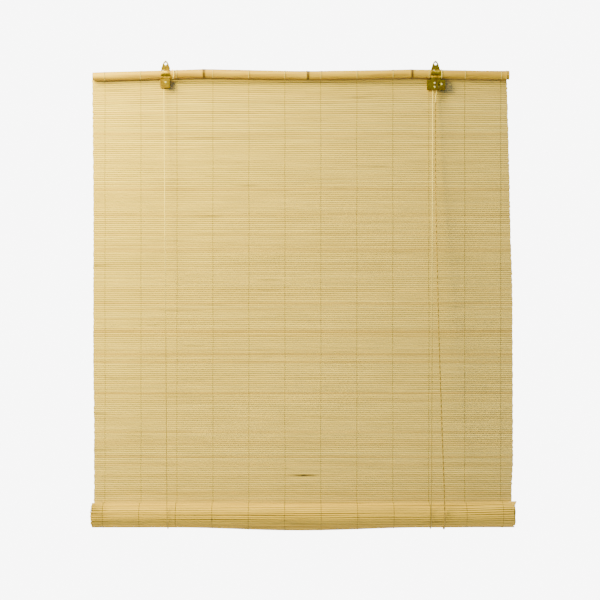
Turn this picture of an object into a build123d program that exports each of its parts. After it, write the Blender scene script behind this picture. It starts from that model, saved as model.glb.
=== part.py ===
from build123d import *

import math
import os
import random

# Roll up blind of split bamboo sticks. Millimetres. X runs along the head pole, the room is at -Y and Z is up.
# The origin is midway between the two hanging eyelets, on their axis.

# Hangers
hanger_spacing = 581.0
hanger_rise = 23.0
sheet = 1.0
left_strap_half_width = 9.3
lock_strap_half_width = 10.5
strap_clearance = 0.5
tongue_half_width = 7.2
left_shoulder_drop = 8.0
lock_shoulder_drop = 13.7
tongue_shoulder = 9.5
tongue_waist_drop = 4.0
tongue_tip = 7.2
housing_half_gap = 4.5
plate_corner = 1.6
eyelet_bore_radius = 2.5
eyelet_wall = 0.7
eyelet_flange = 1.0
eyelet_flange_thickness = 0.6
rivet_fit = 0.05
rivet_radius = 1.2
rivet_head_radius = 2.2
rivet_head_height = 0.8
fixing_pin_radius = 0.9
fixing_pin_head_radius = 1.9
fixing_pin_head_height = 0.9
fixing_pin_angle = 42.0
fixing_pin_depth = 5.0
left_pin_shift = -4.6
right_pin_shift = -3.6

# Left pulley housing, measured from the hanger's middle and down from the pole's axis
left_plate_left = 11.2
left_plate_right = 9.5
left_plate_bottom = 29.0
left_plate_height = 19.0
left_axle_across = 0.4
left_axle_drop = 17.0

# Cord lock on the right hanger
lock_plate_left = 18.4
lock_plate_right = 20.8
lock_plate_top = 12.3
lock_plate_bottom = 33.6
lock_axle_across = -1.8
lock_axle_drop = 18.5
anvil_drop = 27.0
anvil_radius = 3.2
spacer_across = 13.2
spacer_drop = 21.1
spacer_radius = 1.8
slot_top_across = 7.9
slot_top_drop = 15.9
slot_bottom_across = 5.8
slot_bottom_drop = 32.0
slot_clearance = 0.15
roller_drop = 27.5
roller_radius = 3.0
roller_teeth = 16
roller_tooth_depth = 0.3
roller_side_gap = 0.4
roller_spindle_proud = 0.3

# Pulleys and cords
cord_diameter = 1.6
cord_gap = 0.3
pulley_cord_radius = 4.2
pulley_rim = 0.8
pulley_width = 3.8
pulley_groove_floor = 0.9
pulley_groove_mouth = 1.6
pulley_bore_clearance = 0.15
pulley_lane = 2.2
pull_cord_diameter = 3.2

# Head pole: a cane that bends at its nodes, where each kink is (place along X, rise of the axis)
pole_radius = 8.75
pole_bore_radius = 4.6
pole_kinks = ((-447.5, -4.2), (-208.0, 2.8), (16.0, -1.5), (240.0, 2.4), (449.0, -1.4))
node_swell = 0.75
node_dip = 0.1
node_reach = 5.0
end_node_inset = 3.0

# Reed mat
stick_pitch = 4.45
stick_count = 211
stick_thickness = 1.9
stick_groove = 0.5
stick_round = 0.75
stick_back_round = 0.2
web_front_depth = 0.7
web_back_depth = 0.5
mat_front = 7.3
mat_top_gap = 1.65
stick_end_jitter = 1.3
left_edge = ((0.0, -449.5), (250.0, -447.0), (600.0, -447.3), (760.0, -445.5), (880.0, -445.5), (960.0, -447.0))
right_edge = (
    (0.0, 445.0), (60.0, 446.7), (200.0, 450.3), (330.0, 453.0), (450.0, 457.0),
    (820.0, 458.5), (880.0, 455.5), (960.0, 453.5),
)
slit_share = 0.7
slit_count = 54
seen_slits = ((-247.0, -199.0, 137.0), (-449.0, -425.0, 413.0), (-449.0, -430.0, 731.0), (-449.0, -431.0, 811.0),
              (-449.0, -428.0, 848.0), (-36.0, 44.0, 863.0))

# Roll at the bottom
roll_radius = 27.5
roll_drop = 946.2
roll_pitch = 3.25
turn_ends = ((-446.5, 454.5), (-447.5, 457.0), (-447.0, 457.5), (-446.0, 457.0), (-445.5, 455.5), (-446.0, 455.0))
bottom_rod_radius = 6.0
bottom_rod_ends = (-443.0, 452.0)

# Warp threads
warp_first = -422.0
warp_pitch = 77.6
warp_count = 12
thread_width = 1.1
thread_thickness = 0.45
thread_gap = 0.12
tie_wall = 0.75
tie_sides = 12
band_facets = 16

# Cords' places along X, measured from their hangers, and the coil of the pull cord
left_sling_shift = 6.7
right_sling_shift = -12.5
left_tie_shift = 15.0
right_tie_gap = 1.5
knot_radius = 2.0
knot_drop = 4.0
knot_seat = 0.8
strand_join_drop = 60.0
strand_join_shift = -0.1
coil_radius = 17.6
coil_bundle_radius = 5.0
coil_shift = -1.1
coil_rise = 62.0
coil_tie_width = 4.0
coil_tie_wall = 0.8
coil_tie_gap = 0.2

# Worked out from the sizes above
left_x = -hanger_spacing / 2
right_x = hanger_spacing / 2
pole_z = -hanger_rise
cord_radius = cord_diameter / 2
pull_radius = pull_cord_diameter / 2
mat_back = mat_front + stick_thickness
mat_top = pole_z - pole_radius - mat_top_gap
roll_y = mat_back - roll_radius
roll_z = pole_z - roll_drop
sling_radius = roll_radius + cord_gap + cord_radius
tail_radius = roll_radius + cord_gap + pull_radius
pulley_groove_radius = pulley_cord_radius - cord_radius - 0.1
pulley_radius = pulley_cord_radius + pulley_rim
plate_outside = housing_half_gap + sheet
left_sling_x = left_x + left_sling_shift
right_sling_x = right_x + right_sling_shift
strand_join_x = right_x + strand_join_shift
left_tie_x = left_x + left_tie_shift
right_tie_x = right_x + lock_strap_half_width + right_tie_gap + cord_radius
warp_places = [warp_first + warp_pitch * i for i in range(warp_count)]
rng = random.Random(7)


def save(shape, node):
    export_step(shape, f"parts/{node}.step")


def between(table, place):
    """The value of a table of (place, value) rows at one place, along straight lines."""
    for (a, low), (b, high) in zip(table, table[1:]):
        if place <= b:
            return low + (high - low) * (place - a) / (b - a)
    return table[-1][1]


def pole_axis_z(x):
    return pole_z + between(pole_kinks, x)


def along_x(points, start, end):
    """A prism along X over an outline of (y, z) points."""
    face = make_face(Polyline(*points, close=True))
    return extrude(Plane.YZ.offset(start) * face, end - start)


def along_y(face, start, end):
    """A prism along Y over a face drawn in (x, z)."""
    return extrude(Plane.XZ.offset(-start) * face, start - end)


def pin_y(x, z, radius, start, end):
    """A round pin along Y from start to end."""
    return Plane.XZ.offset(-start) * Pos(x, z) * Cylinder(
        radius, end - start, align=(Align.CENTER, Align.CENTER, Align.MAX)
    )


def turned_y(x, y, z, profile):
    """A body turned about the Y axis, from (radius, y) points."""
    face = Plane.XY * make_face(Polyline(*profile, close=True))
    return Pos(x, y, z) * revolve(face, Axis.Y)


def straight(start, end, radius):
    """A round cord, straight from start to end."""
    path = Line(start, end)
    return sweep(Plane(origin=path @ 0, z_dir=path % 0) * Circle(radius), path=path)


def swept(path, radius):
    return sweep(Plane(origin=path @ 0, z_dir=path % 0) * Circle(radius), path=path)


def widest_radius(a, b, c):
    """The radius of the arc at b that takes 0.45 of the shorter of its two runs."""
    before = Vector(*b) - Vector(*a)
    after = Vector(*c) - Vector(*b)
    turn = math.radians(before.get_angle(after))
    return 0.45 * min(before.length, after.length) / math.tan(turn / 2)


# Head pole

def axis_point(x):
    return (x, 0, pole_axis_z(x))


def node_ring(x, after):
    """The double ridge at a node, which ends the given distance after it."""
    buried = pole_radius - 1.0
    outline = [(-node_reach, buried), (-node_reach, pole_radius - 0.2), (-1.4, pole_radius + node_swell),
               (0, pole_radius + node_dip), (1.2, pole_radius + node_swell * 0.7)]
    if after < node_reach:
        outline += [(after, pole_radius + node_swell * 0.5), (after, buried)]
    else:
        outline += [(after, pole_radius - 0.2), (after, buried)]
    face = Plane.XY * make_face(Polyline(*outline, close=True))
    return Pos(*axis_point(x)) * revolve(face, Axis.X)


def make_head_pole():
    """The cane: straight between its nodes, hollow at the open left end and closed by a node at the right."""
    axis = Polyline(*[axis_point(x) for x, _ in pole_kinks])
    section = Plane(origin=axis @ 0, z_dir=axis % 0) * Circle(pole_radius)
    pole = sweep(section, path=axis, transition=Transition.RIGHT)
    pole += [node_ring(x, node_reach) for x, _ in pole_kinks[1:-1]]
    pole += node_ring(pole_kinks[-1][0] - end_node_inset, end_node_inset)
    start, first_node = pole_kinks[0][0], pole_kinks[1][0]
    pole -= straight(axis_point(start), axis_point(first_node - 2 * node_reach), pole_bore_radius)
    for x, shift in ((left_x, left_pin_shift), (right_x, right_pin_shift)):
        pole -= fixing_pin_hole(x, shift)
    return pole


def radial_plane(x, shift):
    """A plane on the pole's axis at a hanger, whose normal points along the fixing pin, out of the front."""
    angle = math.radians(fixing_pin_angle)
    origin = (x + shift, 0, pole_axis_z(x))
    return Plane(origin=origin, x_dir=(1, 0, 0), z_dir=(0, -math.cos(angle), math.sin(angle)))


def fixing_pin_hole(x, shift):
    reach = pole_radius + 3 * sheet
    hole = Cylinder(fixing_pin_radius + rivet_fit, reach - fixing_pin_depth + rivet_fit,
                    align=(Align.CENTER, Align.CENTER, Align.MAX))
    return radial_plane(x, shift) * Pos(0, 0, reach) * hole


def make_fixing_pin(x, shift):
    seat = pole_radius + strap_clearance + sheet + rivet_fit
    profile = [(0, fixing_pin_depth), (fixing_pin_radius, fixing_pin_depth), (fixing_pin_radius, seat),
               (fixing_pin_head_radius, seat), (fixing_pin_head_radius * 0.8, seat + fixing_pin_head_height * 0.7),
               (0, seat + fixing_pin_head_height)]
    pin = revolve(Plane.XZ * make_face(Polyline(*profile, close=True)), Axis.Z)
    return radial_plane(x, shift) * pin


# Hangers

def side_profile(x, bottom, front):
    """The bent sheet of one hanger half, seen from the side, as a face in (y, z)."""
    way = -1 if front else 1
    centre_z = pole_axis_z(x)
    inner = pole_radius + strap_clearance
    outer = inner + sheet
    ring = Pos(0, centre_z) * (Circle(outer) - Circle(inner))
    keep_top = Pos(way * outer, centre_z + outer) * Rectangle(2 * outer, 2 * outer)
    keep_side = Pos(way * (housing_half_gap + outer), centre_z - outer) * Rectangle(2 * outer, 2 * outer)
    half = ring & (keep_top + keep_side)
    tongue_top = tongue_shoulder + tongue_tip
    tongue_foot = centre_z + inner + sheet / 4
    tongue = Pos(way * sheet / 2, (tongue_top + tongue_foot) / 2) * Rectangle(sheet, tongue_top - tongue_foot)
    leg_top = centre_z - math.sqrt((inner + sheet / 2) ** 2 - (housing_half_gap + sheet / 2) ** 2)
    leg_foot = pole_z - bottom
    leg = Pos(way * (housing_half_gap + sheet / 2), (leg_top + leg_foot) / 2) * Rectangle(sheet, leg_top - leg_foot)
    return half + tongue + leg


def front_outline(x, half_width, shoulder_drop, left, right, top, bottom):
    """The hanger's outline seen from the front: plate, strap, tapered shoulder and pointed tongue."""
    w, t = half_width, tongue_half_width
    plate_top, plate_bottom = pole_z - top, pole_z - bottom
    shoulder, waist, apex = -shoulder_drop, -tongue_waist_drop, tongue_tip
    edges = [
        Line((-w, plate_top), (-w, shoulder)), Line((-w, shoulder), (-t, waist)),
        ThreePointArc((-t, waist), (-t * 0.62, apex * 0.42), (0, apex)),
        ThreePointArc((0, apex), (t * 0.62, apex * 0.42), (t, waist)),
        Line((t, waist), (w, shoulder)), Line((w, shoulder), (w, plate_top)),
        Line((w, plate_top), (-w, plate_top)),
    ]
    strap = make_face(Wire(edges))
    plate = Pos((right - left) / 2, (plate_top + plate_bottom) / 2) * RectangleRounded(
        left + right, plate_top - plate_bottom, plate_corner
    )
    neck = Pos(0, plate_top) * Rectangle(2 * w, 2 * plate_corner + 1.0)
    return Pos(x, 0) * (strap + neck + plate)


def hanger_half(x, outline, bottom, front):
    bent = extrude(Plane.YZ.offset(x - 30) * side_profile(x, bottom, front), 60)
    half = bent & along_y(outline, -30, 30)
    half -= pin_y(x, 0, eyelet_bore_radius + eyelet_wall + rivet_fit, -5, 5)
    return half


def make_eyelet(x):
    tube = eyelet_bore_radius + eyelet_wall
    rim = tube + eyelet_flange
    lip = sheet + eyelet_flange_thickness
    profile = [(eyelet_bore_radius, -lip), (rim - 0.3, -lip), (rim, -sheet - 0.2), (rim, -sheet), (tube, -sheet),
               (tube, sheet), (rim, sheet), (rim, sheet + 0.2), (rim - 0.3, lip), (eyelet_bore_radius, lip)]
    return turned_y(x, 0, 0, profile)


def make_rivet(x, drop, body_radius):
    """A rivet through both plates, with a thicker body between them where body_radius is over its own."""
    z = pole_z - drop
    outside, head = plate_outside, plate_outside + rivet_head_height
    dome = rivet_head_radius * 0.75
    half = [(0, -head), (dome, -head), (rivet_head_radius, -outside - 0.3), (rivet_head_radius, -outside),
            (rivet_radius, -outside), (rivet_radius, -housing_half_gap), (body_radius, -housing_half_gap)]
    mirrored = [(r, -y) for r, y in reversed(half)]
    points = [p for i, p in enumerate(half + mirrored) if i == 0 or p != (half + mirrored)[i - 1]]
    return turned_y(x, 0, z, points)


def make_pulley(x, y, drop):
    bore = rivet_radius + pulley_bore_clearance
    w = pulley_width / 2
    half = [(bore, -w), (pulley_radius, -w), (pulley_radius, -pulley_groove_mouth),
            (pulley_groove_radius, -pulley_groove_floor)]
    profile = half + [(r, -place) for r, place in reversed(half)]
    return turned_y(x, y, pole_z - drop, profile)


def rivet_holes(x, places):
    holes = [pin_y(x + across, pole_z - drop, rivet_radius + rivet_fit, -10, 10) for across, drop in places]
    return Part() + holes


def slot_cut():
    """The leaning slot through both lock plates."""
    top = Vector(right_x + slot_top_across, pole_z - slot_top_drop)
    foot = Vector(right_x + slot_bottom_across, pole_z - slot_bottom_drop)
    width = 2 * (rivet_radius + slot_clearance)
    lean = math.degrees(math.atan2(top.Y - foot.Y, top.X - foot.X))
    face = Pos((top.X + foot.X) / 2, (top.Y + foot.Y) / 2) * Rot(0, 0, lean) * SlotOverall((top - foot).length, width)
    return along_y(face, -10, 10)


def slot_across(drop):
    share = (slot_bottom_drop - drop) / (slot_bottom_drop - slot_top_drop)
    return slot_bottom_across + (slot_top_across - slot_bottom_across) * share


def make_lock_roller():
    x = right_x + slot_across(roller_drop)
    z = pole_z - roller_drop
    half = housing_half_gap - roller_side_gap
    reach = plate_outside + roller_spindle_proud
    star = []
    for i in range(2 * roller_teeth):
        r = roller_radius - (roller_tooth_depth if i % 2 else 0)
        a = math.pi * i / roller_teeth
        star.append((r * math.cos(a), r * math.sin(a)))
    drum = along_y(Pos(x, z) * make_face(Polyline(*star, close=True)), -half, half)
    return drum + pin_y(x, z, rivet_radius, -reach, reach)


# Reed mat

def stick_front(z, groove_floor, face):
    h = stick_pitch - stick_groove
    return [(groove_floor, z), (face, z - stick_round), (face, z - h + stick_round), (groove_floor, z - h)]


def mat_section():
    """The mat's section in (y, z): a row of sticks with a groove between each pair, on both faces."""
    front, back = [], []
    web_front = mat_front + web_front_depth
    web_back = mat_back - web_back_depth
    for i in range(stick_count):
        z = mat_top - stick_pitch * i
        front += stick_front(z, web_front, mat_front)
        middle = z - stick_pitch + stick_groove / 2
        edge = stick_back_round
        back += [(mat_back, z - edge), (mat_back, z - stick_pitch + stick_groove + edge), (web_back, middle)]
    foot = roll_z + cord_gap
    front = [p for p in front if p[1] > foot]
    back = [p for p in back if p[1] > foot]
    return front + [(web_front, foot), (web_back, foot)] + back[::-1] + [(web_back, mat_top)]


def stick_ends(table, side):
    """The waste outside the stick ends on one side, stepped stick by stick, as a face in (x, z)."""
    outside = side * 500.0
    points = [(outside, mat_top + 5.0)]
    for i in range(stick_count):
        x = between(table, stick_pitch * i) + side * rng.uniform(-stick_end_jitter, 0.3 * stick_end_jitter)
        upper = mat_top - stick_pitch * i + (5.0 if i == 0 else stick_groove / 2)
        lower = mat_top - stick_pitch * (i + 1) + stick_groove / 2
        points += [(x, upper), (x, lower - (5.0 if i == stick_count - 1 else 0))]
    points.append((outside, points[-1][1]))
    return make_face(Polyline(*points, close=True))


def slit(start, end, row):
    """A gap where two sticks stand apart, below the given row of sticks."""
    middle = mat_top - stick_pitch * (row + 1) + stick_groove / 2
    size = (end - start, 4 * stick_thickness, stick_groove * slit_share)
    return Pos((start + end) / 2, (mat_front + mat_back) / 2, middle) * Box(*size)


def make_reed_mat():
    mat = along_x(mat_section(), -500, 500)
    waste = [along_y(stick_ends(left_edge, -1), 0, 20), along_y(stick_ends(right_edge, 1), 0, 20)]
    rows = rng.sample(range(3, stick_count - 8), slit_count)
    slits = [slit(a, b, round(drop / stick_pitch)) for a, b, drop in seen_slits]
    used = {round(drop / stick_pitch) for _, _, drop in seen_slits}
    for row in rows:
        bay = rng.randrange(warp_count - 1)
        bays = rng.choice((1, 1, 2, 3))
        start = warp_places[bay] + rng.uniform(4, 25)
        end = min(warp_places[min(bay + bays, warp_count - 1)] - rng.uniform(4, 25), warp_places[-1] - 4)
        if row not in used:
            slits.append(slit(start, end, row))
    return mat - waste - slits


# Roll

def spiral_radius(turn):
    """The middle radius of the rolled mat after a turn, in radians from where it leaves the flat mat."""
    return roll_radius - stick_thickness / 2 - roll_pitch * turn / (2 * math.pi)


def spiral_point(turn, offset):
    r = spiral_radius(turn) + offset
    return (roll_y + r * math.cos(turn), roll_z - r * math.sin(turn))


def spiral_sticks():
    """The turn at which each rolled stick starts, in to the one that lies on the bottom rod."""
    turns = [0.0]
    while spiral_radius(turns[-1]) > bottom_rod_radius + cord_gap + stick_thickness / 2:
        turns.append(turns[-1] + stick_pitch / spiral_radius(turns[-1]))
    return turns[:-1]


def rolled_section(sticks, ridged):
    """The section in (y, z) of a run of rolled sticks, given as the turns where they start and end."""
    half = stick_thickness / 2
    outer, inner = [], []
    for a, b in zip(sticks, sticks[1:]):
        edge = (b - a) * stick_round / stick_pitch
        groove = (b - a) * stick_groove / stick_pitch
        if ridged:
            outer += [spiral_point(a, half - web_front_depth), spiral_point(a + edge, half)]
            outer += [spiral_point(b - groove - edge, half), spiral_point(b - groove, half - web_front_depth)]
        else:
            outer.append(spiral_point(a, half))
        inner.append(spiral_point(a, -half))
    outer.append(spiral_point(sticks[-1], half - (web_front_depth if ridged else 0)))
    inner.append(spiral_point(sticks[-1], -half))
    return outer + inner[::-1]


def make_rolled_mat():
    turns = spiral_sticks()
    pieces = []
    first = 0
    for number, (start, end) in enumerate(turn_ends):
        limit = 2 * math.pi * (number + 1)
        is_last = number == len(turn_ends) - 1
        last = max(i for i, turn in enumerate(turns) if turn <= limit or is_last)
        if last > first:
            pieces.append(along_x(rolled_section(turns[first:last + 1], number == 0), start, end))
        first = last
    return pieces[0] + pieces[1:]


def make_bottom_rod():
    start, end = bottom_rod_ends
    rod = Pos(start, roll_y, roll_z) * (Plane.YZ * Circle(bottom_rod_radius))
    return extrude(rod, end - start)


def make_roll_warp_threads():
    """A thread over the roll's outer turn at each warp."""
    step = 2 * math.pi / band_facets
    low = stick_thickness / 2 + thread_gap + roll_radius * (1 - math.cos(step / 2))
    high = low + thread_thickness
    steps = [step * i for i in range(band_facets)] + [2 * math.pi - step * 0.2]
    outline = [spiral_point(t, high) for t in steps] + [spiral_point(t, low) for t in reversed(steps)]
    return Compound([along_x(outline, x - thread_width / 2, x + thread_width / 2) for x in warp_places])


# Warp threads on the flat mat, and their loops round the pole

def warp_strip(x, y, top, bottom):
    size = (thread_width, thread_thickness, top - bottom)
    return Pos(x, y, (top + bottom) / 2) * Box(*size)


def strip_places():
    half = thread_thickness / 2
    return mat_front - thread_gap - half, mat_back + thread_gap + half


def make_warp_threads():
    foot = roll_z + roll_radius * 0.2
    strips = [warp_strip(x, y, mat_top, foot) for x in warp_places for y in strip_places()]
    return Compound(strips)


def make_warp_ties():
    loops = []
    for x in warp_places:
        z = pole_axis_z(x)
        inner = pole_radius + thread_gap
        outer = inner + tie_wall
        ring = Pos(0, z) * (RegularPolygon(outer, tie_sides) - RegularPolygon(inner, tie_sides, major_radius=False))
        loop = extrude(Plane.YZ.offset(x - thread_width / 2) * ring, thread_width)
        for y in strip_places():
            rise = math.sqrt(max((inner + tie_wall / 2) ** 2 - y**2, 0.5))
            loop += warp_strip(x, y, z - rise, mat_top + 0.05)
        loops.append(loop)
    return Compound(loops)


# Cords

def front_run(x_top, y_top, z_top, x_foot):
    return straight((x_top, y_top, z_top), (x_foot, roll_y - sling_radius, roll_z + cord_gap), cord_radius)


def sling(x):
    """A lift cord under the roll, from its front to its back."""
    section = Pos(0, -sling_radius) * Circle(cord_radius)
    return Pos(x, roll_y, roll_z) * revolve(Plane.XY * section, Axis.X, 180)


def tie_ring_radius():
    return pole_radius + cord_gap + cord_radius


def knot_place(x):
    return Vector(x, tie_ring_radius() + knot_seat, pole_axis_z(x) - knot_drop)


def back_run(x_top, x_foot):
    knot = knot_place(x_top)
    start = (x_top, roll_y + sling_radius, knot.Z - knot_radius - 0.05)
    return straight(start, (x_foot, roll_y + sling_radius, roll_z + cord_gap), cord_radius)


def cord_tie(x):
    """The fixed end of a lift cord: a loop round the pole, with its knot behind."""
    section = Pos(0, tie_ring_radius()) * RegularPolygon(cord_radius, 6)
    ring = Pos(*axis_point(x)) * revolve(Plane.XY * section, Axis.X)
    barrel = [(0, -knot_radius), (knot_radius * 0.7, -knot_radius * 0.7), (knot_radius, 0),
              (knot_radius * 0.7, knot_radius * 0.7), (0, knot_radius)]
    knot = revolve(Plane.XZ * make_face(Polyline(*barrel, close=True)), Axis.Z)
    return ring + Pos(*knot_place(x)) * knot


left_pulley_x = left_x + left_axle_across
left_pulley_z = pole_z - left_axle_drop
lock_pulley_x = right_x + lock_axle_across
lock_pulley_z = pole_z - lock_axle_drop
left_cord_x = left_pulley_x - pulley_cord_radius
right_cord_x = lock_pulley_x - pulley_cord_radius
strand_x = lock_pulley_x + pulley_cord_radius
lock_exit_z = pole_z - lock_plate_bottom
join_z = pole_z - strand_join_drop
join_lane = cord_radius + 0.05
front_run_gap = 2.0


def make_left_cord_cross():
    """From the left pulley along under the pole, over the lock's back pulley and down through the lock."""
    r = pulley_cord_radius
    points = [
        (left_cord_x, 0, left_pulley_z - front_run_gap), (left_cord_x, 0, left_pulley_z + r),
        (strand_x, pulley_lane, lock_pulley_z + r), (strand_x, pulley_lane, lock_exit_z - 2.0),
        (strand_join_x, join_lane, join_z + 9.0), (strand_join_x, join_lane, join_z),
    ]
    radii = [r, r, widest_radius(*points[2:5]), widest_radius(*points[3:6])]
    return swept(FilletPolyline(*points, radius=radii), cord_radius)


def make_right_cord_head():
    """Over the lock's front pulley and down through the lock."""
    r = pulley_cord_radius
    left = (right_cord_x, -pulley_lane, lock_pulley_z)
    top = (lock_pulley_x, -pulley_lane, lock_pulley_z + r)
    right = (strand_x, -pulley_lane, lock_pulley_z)
    down = [right, (strand_x, -pulley_lane, lock_exit_z - 2.0),
            (strand_join_x, -join_lane, join_z + 9.0), (strand_join_x, -join_lane, join_z)]
    radii = [widest_radius(*down[0:3]), widest_radius(*down[1:4])]
    start = (right_cord_x, -pulley_lane, lock_pulley_z - front_run_gap)
    path = Line(start, left) + ThreePointArc(left, top, right) + FilletPolyline(*down, radius=radii)
    return swept(path, cord_radius)


# The pull cord's hanging part, from the join below the lock down to the front of the roll. Each point is a distance
# across from the join, and a share of the way down.
pull_route = [
    (0.0, 0.0), (-0.8, 0.076), (-0.9, 0.18), (0.0, 0.279), (1.9, 0.385), (3.6, 0.492), (5.6, 0.601), (8.6, 0.71),
    (11.2, 0.82), (14.2, 0.913), (16.0, 1.0),
]
pull_bow = 1.2
pull_tail_x = strand_join_x + pull_route[-1][0]
coil_x = pull_tail_x + coil_shift
joint_gap = 0.2


def pull_point(across, share):
    """A point of the hanging part, which leans out from the lock to the roll's front and bows a little."""
    top, foot = join_z - joint_gap, roll_z + cord_gap
    lean = (roll_y - tail_radius) * share
    bow = pull_bow * 4 * share * (1 - share)
    return (strand_join_x + across, lean - bow, top + (foot - top) * share)


def make_pull_cord_front():
    points = [pull_point(*row) for row in pull_route]
    radii = [widest_radius(*points[i:i + 3]) for i in range(len(points) - 2)]
    print("pull cord radii", [round(r) for r in radii])
    return swept(FilletPolyline(*points, radius=radii), pull_radius)


def make_pull_cord_tail():
    """From the front of the roll under it and up behind the mat to the coil."""
    section = Pos(0, -tail_radius) * Circle(pull_radius)
    under = Pos(pull_tail_x, roll_y, roll_z) * revolve(Plane.XY * section, Axis.X, 180)
    back = (pull_tail_x, roll_y + tail_radius, roll_z)
    top = roll_z + coil_rise - coil_radius - coil_bundle_radius - joint_gap / 2
    return under + straight(back, (pull_tail_x, roll_y + tail_radius, top), pull_radius)


def make_pull_cord_coil():
    y = mat_back + cord_gap + coil_bundle_radius
    return Pos(coil_x, y, roll_z + coil_rise) * Rot(90, 0, 0) * Torus(coil_radius, coil_bundle_radius)


def make_coil_tie():
    """The wrap that holds the coil's turns together, at its top."""
    y = mat_back + cord_gap + coil_bundle_radius
    inner = coil_bundle_radius + coil_tie_gap
    ring = Pos(y, coil_radius + roll_z + coil_rise) * (Circle(inner + coil_tie_wall) - Circle(inner))
    ring &= Pos(y + coil_tie_wall, coil_radius + roll_z + coil_rise) * Rectangle(2 * inner + coil_tie_wall, 40)
    return extrude(Plane.YZ.offset(coil_x - coil_tie_width / 2) * ring, coil_tie_width)


# Build and write every piece

left_plate_top = left_plate_bottom - left_plate_height
left_outline = front_outline(
    left_x, left_strap_half_width, left_shoulder_drop,
    left_plate_left, left_plate_right, left_plate_top, left_plate_bottom
)
right_outline = front_outline(
    right_x, lock_strap_half_width, lock_shoulder_drop,
    lock_plate_left, lock_plate_right, lock_plate_top, lock_plate_bottom
)
left_holes = rivet_holes(left_x, [(left_axle_across, left_axle_drop)])
lock_holes = rivet_holes(
    right_x, [(lock_axle_across, lock_axle_drop), (lock_axle_across, anvil_drop), (spacer_across, spacer_drop)]
)
lock_slot = slot_cut()

save(make_head_pole(), "head_pole")
save(make_reed_mat(), "reed_mat")
save(make_rolled_mat(), "rolled_mat")
save(make_bottom_rod(), "bottom_rod")
save(make_warp_threads(), "warp_threads")
save(make_warp_ties(), "warp_ties")
save(make_roll_warp_threads(), "roll_warp_threads")

left_front = hanger_half(left_x, left_outline, left_plate_bottom, True)
save(left_front - left_holes - fixing_pin_hole(left_x, left_pin_shift), "left_hanger_front")
save(hanger_half(left_x, left_outline, left_plate_bottom, False) - left_holes, "left_hanger_back")
lock_front = hanger_half(right_x, right_outline, lock_plate_bottom, True)
save(lock_front - lock_holes - lock_slot - fixing_pin_hole(right_x, right_pin_shift), "lock_front_plate")
save(hanger_half(right_x, right_outline, lock_plate_bottom, False) - lock_holes - lock_slot, "lock_back_plate")
save(make_eyelet(left_x), "left_eyelet")
save(make_eyelet(right_x), "right_eyelet")
save(make_fixing_pin(left_x, left_pin_shift), "left_fixing_pin")
save(make_fixing_pin(right_x, right_pin_shift), "right_fixing_pin")
save(make_rivet(left_pulley_x, left_axle_drop, rivet_radius), "left_pulley_axle")
save(make_rivet(lock_pulley_x, lock_axle_drop, rivet_radius), "lock_pulley_axle")
save(make_rivet(lock_pulley_x, anvil_drop, anvil_radius), "lock_anvil")
save(make_rivet(right_x + spacer_across, spacer_drop, spacer_radius), "lock_spacer_rivet")
save(make_pulley(left_pulley_x, 0, left_axle_drop), "left_pulley")
save(make_pulley(lock_pulley_x, -pulley_lane, lock_axle_drop), "lock_front_pulley")
save(make_pulley(lock_pulley_x, pulley_lane, lock_axle_drop), "lock_back_pulley")
save(make_lock_roller(), "lock_roller")

save(front_run(left_cord_x, 0, left_pulley_z - front_run_gap - 0.1, left_sling_x), "left_cord_front")
save(front_run(right_cord_x, -pulley_lane, lock_pulley_z - front_run_gap - 0.1, right_sling_x), "right_cord_front")
save(sling(left_sling_x), "left_cord_sling")
save(sling(right_sling_x), "right_cord_sling")
save(back_run(left_tie_x, left_sling_x), "left_cord_back")
save(back_run(right_tie_x, right_sling_x), "right_cord_back")
save(cord_tie(left_tie_x), "left_cord_tie")
save(cord_tie(right_tie_x), "right_cord_tie")
save(make_left_cord_cross(), "left_cord_cross")
save(make_right_cord_head(), "right_cord_head")
save(make_pull_cord_front(), "pull_cord_front")
save(make_pull_cord_tail(), "pull_cord_tail")
save(make_pull_cord_coil(), "pull_cord_coil")
save(make_coil_tie(), "coil_tie")
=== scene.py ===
# %% [markdown]
# # A roll up blind of split bamboo
# The blind hangs from a thin bamboo cane by two brass hangers. About 210 split sticks, bound by twelve pairs of
# thread, make the mat, and its lower end is rolled up round a rod and held by two lift cords that pass through a cord
# lock. The metal fittings are exact already, so they only need their finish. The sticks, the threads, the cane and
# the cords are grown or spun things, never twice the same, so they are modelled again here with their irregularities.

import math
import random

import bpy
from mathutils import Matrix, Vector, noise


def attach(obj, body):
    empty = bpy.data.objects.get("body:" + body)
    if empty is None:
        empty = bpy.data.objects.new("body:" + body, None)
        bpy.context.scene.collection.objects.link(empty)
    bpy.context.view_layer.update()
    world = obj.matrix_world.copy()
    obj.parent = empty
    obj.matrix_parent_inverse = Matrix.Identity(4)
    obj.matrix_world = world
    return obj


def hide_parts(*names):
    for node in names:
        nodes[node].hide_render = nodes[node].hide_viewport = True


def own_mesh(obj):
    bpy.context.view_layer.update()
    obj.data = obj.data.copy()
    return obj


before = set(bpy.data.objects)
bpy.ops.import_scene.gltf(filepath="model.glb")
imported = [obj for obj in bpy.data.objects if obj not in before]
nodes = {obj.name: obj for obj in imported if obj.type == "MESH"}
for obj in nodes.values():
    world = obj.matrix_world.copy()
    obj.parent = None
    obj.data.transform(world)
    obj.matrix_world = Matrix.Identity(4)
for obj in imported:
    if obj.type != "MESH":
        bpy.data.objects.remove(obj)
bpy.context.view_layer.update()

# %% [markdown]
# ## Sizes
# Everything is in metres, in the same frame as the model: the origin is midway between the two hanging eyelets, X
# runs to the right along the cane, the room is at -Y and Z is up. A few sizes of the model are written again here in
# millimetres, because the new pieces have to meet it.

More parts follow.
